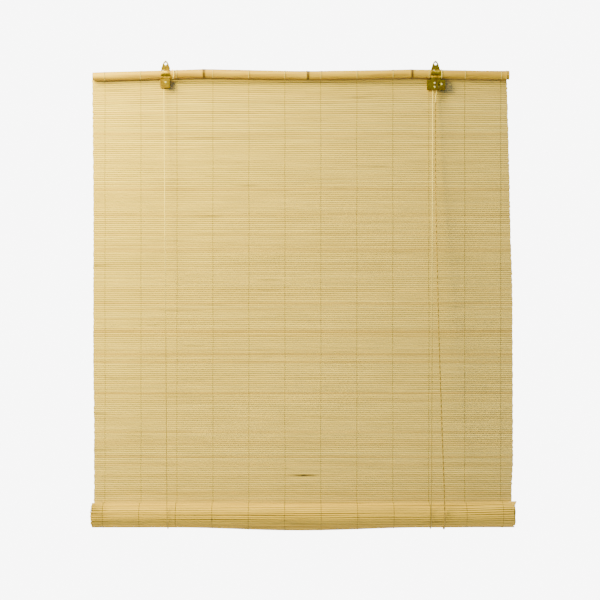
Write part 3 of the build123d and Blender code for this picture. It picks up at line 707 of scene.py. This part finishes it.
bpy.ops.object.select_all(action="DESELECT")
bpy.ops.mesh.primitive_cylinder_add(vertices=36, radius=1.0, depth=1.0, end_fill_type="NGON",
                                    rotation=(0, math.radians(90), 0))
pole = bpy.context.object
pole.name = "cane_pole"
bpy.ops.object.transform_apply(location=True, rotation=True, scale=True)
bpy.context.tool_settings.mesh_select_mode = (False, True, False)
select_edges(pole, runs_along)
bpy.ops.object.mode_set(mode="EDIT")
bpy.ops.mesh.subdivide(number_cuts=len(ring_places) - 2)
bpy.ops.object.mode_set(mode="OBJECT")
darkness = []
for vertex in pole.data.vertices:
    ring = round((vertex.co.x + 0.5) * (len(ring_places) - 1))
    x = ring_places[ring]
    angle = math.atan2(vertex.co.z, vertex.co.y)
    radius = (cane_radius(x) + 0.10 * math.sin(2 * angle + x / 90.0)) * mm
    vertex.co = (x * mm, radius * math.cos(angle), pole_z + smooth_axis(x) * mm + radius * math.sin(angle))
    darkness.append(stain(x))

# %% The sawn end, hollow, and the finish
wall = 4.1 * mm
bore_depth, bore_rise = 160 * mm, 2.0 * mm
for polygon in pole.data.polygons:
    polygon.select = abs(polygon.normal.x) > 0.9 and polygon.center.x < (pole_left + 1) * mm
bpy.context.tool_settings.mesh_select_mode = (False, False, True)
bpy.ops.object.mode_set(mode="EDIT")
bpy.ops.mesh.inset(thickness=wall)
bpy.ops.mesh.extrude_region_move(TRANSFORM_OT_translate={"value": (bore_depth, 0, bore_rise)})
bpy.ops.mesh.select_all(action="SELECT")
bpy.ops.mesh.normals_make_consistent(inside=False)
bpy.ops.object.mode_set(mode="OBJECT")
bpy.ops.object.shade_smooth_by_angle(angle=math.radians(40))
darkness += [0.0] * (len(pole.data.vertices) - len(darkness))
pole.data.attributes.new("node_dark", "FLOAT", "POINT").data.foreach_set("value", darkness)
wear_finish(pole, cane)
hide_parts("head_pole")
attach(pole, "head")
print("cane", len(pole.data.vertices), "points")

# %% [markdown]
# ## Sticks
# One stick is modelled: a bar with its long edges bevelled, cut into short lengths so that it can bend. Every stick
# of the mat and of the roll is a copy of it with its own length, height, bend, lean and shade. A slow drift of the
# rows, the same for neighbours, gives the lines that wander over the mat, and noise of its own makes each stick
# uneven.

# %% One stick
stick_height = 4.72 * mm
stick_bevel = 0.8 * mm
stick_cuts = 21
bpy.ops.object.select_all(action="DESELECT")
bpy.ops.mesh.primitive_cube_add(size=1.0, scale=(1.0, stick_thickness, stick_height))
stick = bpy.context.object
bpy.ops.object.transform_apply(location=True, rotation=True, scale=True)
bpy.context.tool_settings.mesh_select_mode = (False, True, False)
select_edges(stick, runs_along)
bpy.ops.object.mode_set(mode="EDIT")
bpy.ops.mesh.bevel(offset=stick_bevel, segments=1, affect="EDGES")
bpy.ops.object.mode_set(mode="OBJECT")
select_edges(stick, runs_along)
bpy.ops.object.mode_set(mode="EDIT")
bpy.ops.mesh.subdivide(number_cuts=stick_cuts)
bpy.ops.object.mode_set(mode="OBJECT")
print("one stick", len(stick.data.vertices), "points")


# %% Lay sticks in rows
groove_edge = 2.0 * mm
lower_half_shade = 0.42
streak_reach = 1.15  # a streak fades out this many times half its width from its middle


def streak(place, dark):
    """How dark a stick is at one place, from its darker stretches, each with a middle, half a width and a depth."""
    return max([min(1.0, max(0.0, streak_reach - abs(place - middle) / half)) * depth
                for middle, half, depth in dark], default=0.0)


def lay_sticks(name, rows, finish):
    """Copies the stick into rows. Each row has ends, a shade, darker stretches and a function that places a point."""
    copies = []
    for row in rows:
        copy = stick.copy()
        copy.data = stick.data.copy()
        bpy.context.scene.collection.objects.link(copy)
        start, end = row["ends"]
        records = {"stick_tone": [], "stick_along": [], "stick_across": [], "stick_shade": []}
        for vertex in copy.data.vertices:
            x, y, z = vertex.co
            place = start + (x + 0.5) * (end - start)
            # Painted shade: the groove between two sticks fully, and the lower half of each stick partly, as light
            # from above leaves them.
            groove = 1.0 if abs(z) > groove_edge else lower_half_shade if z < 0 else 0.0
            records["stick_tone"].append(row["tone"])
            records["stick_along"].append(place + row["tone"] * 3)
            records["stick_across"].append((math.atan2(z, y) + math.pi) * 2.0 * mm)
            records["stick_shade"].append(max(streak(place, row["dark"]), groove))
            vertex.co = row["put"](place, y, z * row["height"])
        for label, values in records.items():
            copy.data.attributes.new(label, "FLOAT", "POINT").data.foreach_set("value", values)
        copies.append(copy)
    select_only(*copies)
    bpy.ops.object.join()
    made = bpy.context.object
    made.name = name
    wear_finish(made, finish)
    print(name, len(copies), "sticks,", sum(len(p.vertices) - 2 for p in made.data.polygons), "triangles")
    return made


def random_tone():
    """Most sticks are straw coloured, and a few are darker."""
    return min(1.0, max(0.0, rng.gauss(0.62, 0.09) if rng.random() > 0.04 else rng.uniform(0.2, 0.45)))


# %% [markdown]
# The flat mat follows the photograph in its outline: straight on the left, and on the right an edge that swings out
# by 12 mm towards the lower half and back in above the roll. Dark streaks sit where the photograph shows them: they
# are painted shade where two sticks have parted and the gap between them is in shadow.

# %% Flat mat
# The edges are (drop, x) below the mat's top, and the streaks (x, half a width, drop below the cane's axis, depth)
left_edge = [(0.0, -449.5), (250.0, -447.0), (600.0, -447.3), (760.0, -445.5), (880.0, -445.5), (960.0, -447.0)]
right_edge = [(0.0, 445.0), (60.0, 446.7), (200.0, 450.3), (330.0, 453.0), (450.0, 457.0), (820.0, 458.5),
              (880.0, 455.5), (960.0, 453.5)]
seen_streaks = [(-223.0, 24.0, 137.0, 0.9), (-441.0, 12.0, 413.0, 0.9), (-440.0, 9.0, 731.0, 1.0),
                (-440.0, 9.0, 811.0, 0.9), (-438.0, 10.0, 848.0, 0.9), (4.0, 40.0, 863.0, 1.0)]
calm_top, calm_foot = 30, 20  # the rows over which the wandering grows from nothing
top_rise = 3.6  # how much higher the first stick lies than the model's, below a straight cane, in millimetres


def row_height(x, row):
    """The height of a row's middle at x. Neighbouring rows wander together, and the top ones follow the cane."""
    shared = 1.6 * noise.noise(Vector((x * 2.6, row * 0.03, 3.0)))
    steeper = 0.8 * noise.noise(Vector((x * 6.5, row * 0.06, 9.0)))
    wander = min(1.0, row / calm_top, (stick_count - 1 - row) / calm_foot) * (shared + steeper)
    follow = max(0.0, 1 - row / calm_top) * (smooth_axis(x / mm) + top_rise)
    return mat_top - stick_pitch * (row + 0.5) + (wander + follow) * mm


def flat_row(row):
    """A stick of the flat mat, which leans and bows a little and keeps the groove to its neighbours shut."""
    drop = stick_pitch / mm * (row + 0.5)
    lean = math.radians(rng.gauss(0, 2.0))

    def put(x, y, z):
        bow = noise.noise(Vector((x * 5, row * 0.9, 40.0)))
        turn = lean + math.radians(4) * bow
        fill = (row_height(x, row - 0.5) - row_height(x, row + 0.5)) / stick_pitch
        own_way = 0.1 * mm * noise.noise(Vector((x * 9.0, row * 1.37, 21.0)))
        depth = mat_middle_y + y * math.cos(turn) - z * math.sin(turn) + 0.18 * mm * bow
        height = row_height(x, row) + own_way + fill * z * math.cos(turn) + y * math.sin(turn)
        return (x, depth, height)

    # Painted shade where two sticks have parted, at the streaks listed above.
    dark = [(middle * mm, half * mm, depth) for middle, half, below, depth in seen_streaks
            if abs(below - (pole_z - mat_top) / mm - drop) < stick_pitch / mm * 0.5]
    if rng.random() < 0.22:
        dark.append((rng.uniform(-0.42, 0.42), rng.uniform(0.008, 0.045), rng.uniform(0.15, 0.55)))
    return {
        "ends": ((between(left_edge, drop) + rng.uniform(-0.8, 0.5)) * mm,
                 (between(right_edge, drop) + rng.uniform(-0.5, 0.8)) * mm),
        "height": rng.uniform(0.98, 1.04), "tone": random_tone(), "dark": dark, "put": put,
    }


mat = lay_sticks("flat_mat", [flat_row(row) for row in range(stick_count)], raw_bamboo)
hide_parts("reed_mat")
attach(mat, "head")
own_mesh(mat)

# %% [markdown]
# The roll is the same mat going round: each stick lies on a spiral that starts where the flat mat ends, behind, and
# winds under, up in front and inwards. The turns have slid along each other a little, so the ends are stepped. The
# rod in the core keeps it nearly straight, but between the two cords that carry it the outer turn hangs down in a
# belly of a few millimetres. That turn also lies a little slack over the top and close in below the front, where it
# comes to lie against the flat mat when the blind is drawn right up. Its underside is darkened by painted shade, and
# so are the gaps between the sticks on the front near the left end.

# %% Rolled mat
# The ends of the sticks, as (degrees round the spiral from where the flat mat ends, x)
rolled_left = [(0, -446.0), (90, -446.0), (180, -447.5), (270, -446.5), (360, -445.0), (720, -447.5), (1080, -447.0),
               (1440, -446.0), (1800, -445.5), (2200, -446.0)]
rolled_right = [(0, 453.5), (90, 456.5), (180, 453.5), (225, 455.5), (262, 461.5), (300, 461.5), (360, 458.0),
                (720, 457.0), (1080, 457.5), (1440, 457.0), (1800, 455.5), (2200, 455.0)]
sling_reach = 278 * mm
sag_depth = 1.3 * mm
right_rise, right_swell = 2.2 * mm, 1.6 * mm
belly_depth = 5.4 * mm
top_slack = 1.4
inner_looseness = 0.3
# Places round the spiral, in degrees
underside = 88
lower_front, lower_front_spread = 133, 30
shaded_from, shaded_to = 60, 172
dark_front_from, dark_front_to = 185, 250


def between_slings(x):
    """From 0 at the two cords that carry the roll, and outside them, to 1 halfway."""
    return math.cos(math.pi / 2 * x / sling_reach) ** 2 if abs(x) < sling_reach else 0.0


def roll_sag(x):
    """How far the roll's core hangs down at x. Its right end stands up a little."""
    return sag_depth * between_slings(x) - right_rise * max(0.0, (x - 330 * mm) / (130 * mm))


def roll_swell(x):
    """How much looser the outer turn lies at the right end."""
    return right_swell * max(0.0, (x - 360 * mm) / (100 * mm))


def slack(x, turn):
    """How far the outer turn stands off: out over the top, in below the front, and in a belly between the cords."""
    degrees = math.degrees(turn)
    below_front = math.exp(-((degrees - lower_front) / lower_front_spread) ** 2)
    away = degrees - underside
    belly = math.cos(math.radians(2 * away)) ** 2 if abs(away) < 45 else 0.0
    return (top_slack * max(0.0, -math.sin(turn)) - below_front) * mm + belly_depth * between_slings(x) * belly


def spiral_radius(turn):
    """The distance from the roll's axis to the middle of its sticks, after so many radians of the spiral."""
    return roll_radius - stick_thickness / 2 - roll_layer * turn / (2 * math.pi)


def rolled_row(start_turn, end_turn):
    """A stick of the roll, between two places round the spiral. The sticks of the outer turn are the least even."""
    middle = (start_turn + end_turn) / 2
    degrees = math.degrees(middle)
    radius = spiral_radius(middle)
    lean = math.radians(rng.gauss(0, 4.0))
    seed = rng.uniform(0, 100)
    loose = 1.0 if degrees < 360 else inner_looseness

    def put(x, y, z):
        uneven = 0.4 * mm * (noise.noise(Vector((x * 4, seed, 7.0))) - 0.6)
        z *= 1 - 0.28 * loose * max(0.0, (-405 * mm - x) / (45 * mm))
        own_way = noise.noise(Vector((x * 3, seed, 13.0)))
        shared_way = 1.3 * noise.noise(Vector((x * 5, middle * 1.5, 5.0)))
        along_turn = z + 0.75 * mm * loose * (own_way + shared_way)
        stand_off = loose * (roll_swell(x) + slack(x, middle + along_turn / radius))
        out = radius + uneven + y + stand_off + (along_turn - z) * 0.1 + z * math.tan(lean)
        along_turn *= 1 + max(0.0, stand_off) / radius
        cos, sin = math.cos(middle), math.sin(middle)
        return (x, roll_y + out * cos - along_turn * sin, roll_z - out * sin - along_turn * cos - roll_sag(x))

    dark = []
    # Painted shade in the gaps between sticks on the front of the roll, near its left end.
    if dark_front_from < degrees < dark_front_to:
        dark.append((-0.45, rng.uniform(0.02, 0.06), rng.uniform(0.3, 0.8)))
    # Painted shade on the underside of the roll, darkening whole sticks.
    if shaded_from < degrees < shaded_to:
        dark.append((0.0, 1.0, rng.uniform(0.2, 0.34)))
    if rng.random() < 0.25:
        dark.append((rng.uniform(-0.42, 0.42), rng.uniform(0.01, 0.05), rng.uniform(0.2, 0.7)))
    ends = between(rolled_left, degrees), between(rolled_right, degrees)
    return {"ends": ((ends[0] + rng.uniform(-1.2, 0.8)) * mm, (ends[1] + rng.uniform(-0.8, 1.2)) * mm),
            "height": rng.uniform(0.86, 0.98), "tone": random_tone(), "dark": dark, "put": put}


turns = [0.0]
while spiral_radius(turns[-1]) > core_radius:
    turns.append(turns[-1] + stick_pitch / spiral_radius(turns[-1]))
rolled = lay_sticks("rolled_mat_sticks", [rolled_row(a, b) for a, b in zip(turns[:-2], turns[1:-1])],
                    lit_reverse_bamboo)
bpy.data.objects.remove(stick)
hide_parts("rolled_mat")
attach(rolled, "roll")

# %% [markdown]
# ## Warp threads
# Two threads run down each of the twelve warps and pass the sticks on opposite sides, crossing between every two
# sticks, as string crosses round the slats of a crate. Each is a thin tube along a line that swings from the front
# to the back, and it drifts with the rows where its warp is.

# %% Threads on the flat mat
thread_radius = 0.42 * mm
thread_swing = stick_thickness / 2 + 0.16 * mm
thread_aside = 0.28 * mm
flatness = 1.7
samples_per_stick = 4


def swing(phase):
    """From the front, 1, to the back, -1, flat on top like a thread that lies on a stick."""
    return math.tanh(flatness * math.cos(phase)) / math.tanh(flatness)


def thread_piece(name, lines, body, node, finish=shaded_warp_thread):
    """Thin four-sided tubes along lines of (point, outward direction) that run mostly in one plane."""
    corners = ((thread_radius, 0), (0, thread_radius), (-thread_radius, 0), (0, -thread_radius))
    verts, faces = [], []
    for line in lines:
        faces += tube_faces(len(verts), len(line), len(corners))
        for point, outward in line:
            verts += [point + Vector((aside, 0, 0)) + outward * out for aside, out in corners]
    made = new_piece(name, verts, faces)
    wear_finish(made, finish)
    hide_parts(node)
    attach(made, body)
    return made


flat_lines = []
for place in warp_places:
    for side in (1, -1):
        line = []
        for k in range(stick_count * samples_per_stick):
            row = k / samples_per_stick
            phase = math.pi * (row - 0.5)
            drift = 0.8 * mm * noise.noise(Vector((place * 9, row * 0.05, 2)))
            x = place + thread_aside * side * math.sin(phase) + drift
            y = mat_middle_y - side * thread_swing * swing(phase)
            z = row_height(x, row - 0.5)
            line.append((Vector((x, y, z)), Vector((0, -1, 0))))
        flat_lines.append(line)
threads = thread_piece("mat_threads", flat_lines, "head", "warp_threads")
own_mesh(threads)

# %% Threads on the roll
roll_lines = []
outer_end = 2 * math.pi * 1.04
outer_sticks = sum(1 for turn in turns if turn < outer_end)
for place in warp_places:
    for side in (1, -1):
        line = []
        for k in range(outer_sticks * samples_per_stick):
            row = k / samples_per_stick
            share = row - int(row)
            turn = turns[int(row)] + (turns[int(row) + 1] - turns[int(row)]) * share
            phase = math.pi * (row - 0.5)
            bulge = roll_swell(place) + slack(place, turn) * (1.0 if turn < 2 * math.pi else inner_looseness)
            out = spiral_radius(turn) + 0.1 * mm + bulge + side * thread_swing * swing(phase)
            x = place + thread_aside * side * math.sin(phase)
            outward = Vector((0, math.cos(turn), -math.sin(turn)))
            line.append((Vector((x, roll_y, roll_z - roll_sag(x))) + outward * out, outward))
        roll_lines.append(line)
thread_piece("roll_threads", roll_lines, "roll", "roll_warp_threads")

# %% [markdown]
# Each warp carries the mat by a loop of its two threads over the cane. The loop leaves the front of the first stick,
# passes under the cane to the room's side, over the top and down to the back of the same stick.

# %% Loops of thread round the cane
loop_start, loop_sweep, loop_parts = -48, 285, 21
front_y, back_y = mat_middle_y - thread_swing, mat_middle_y + thread_swing
to_front, to_back = Vector((0, -1, 0)), Vector((0, 1, 0))
loop_lines = []
for place in warp_places:
    for turn_number in range(2):
        z = pole_axis_z(place)
        ring = pole_radius + (0.45 + 0.1 * turn_number) * mm
        x = place + (0.75 * turn_number - 0.4) * mm
        far_x = x + 0.5 * mm
        first = row_height(x, 0)
        line = [(Vector((x, front_y, first + rise * mm)), to_front) for rise in (-1.5, 1.2)]
        for i in range(loop_parts + 1):
            angle = math.radians(loop_start - loop_sweep * i / loop_parts)
            outward = Vector((0, math.cos(angle), math.sin(angle)))
            line.append((Vector((x + 0.5 * mm * i / loop_parts, 0, z)) + outward * ring, outward))
        line += [(Vector((far_x, back_y, first + rise * mm)), to_back) for rise in (1.4, -1.5)]
        loop_lines.append(line)
thread_piece("thread_loops", loop_lines, "head", "warp_ties", pale_thread)
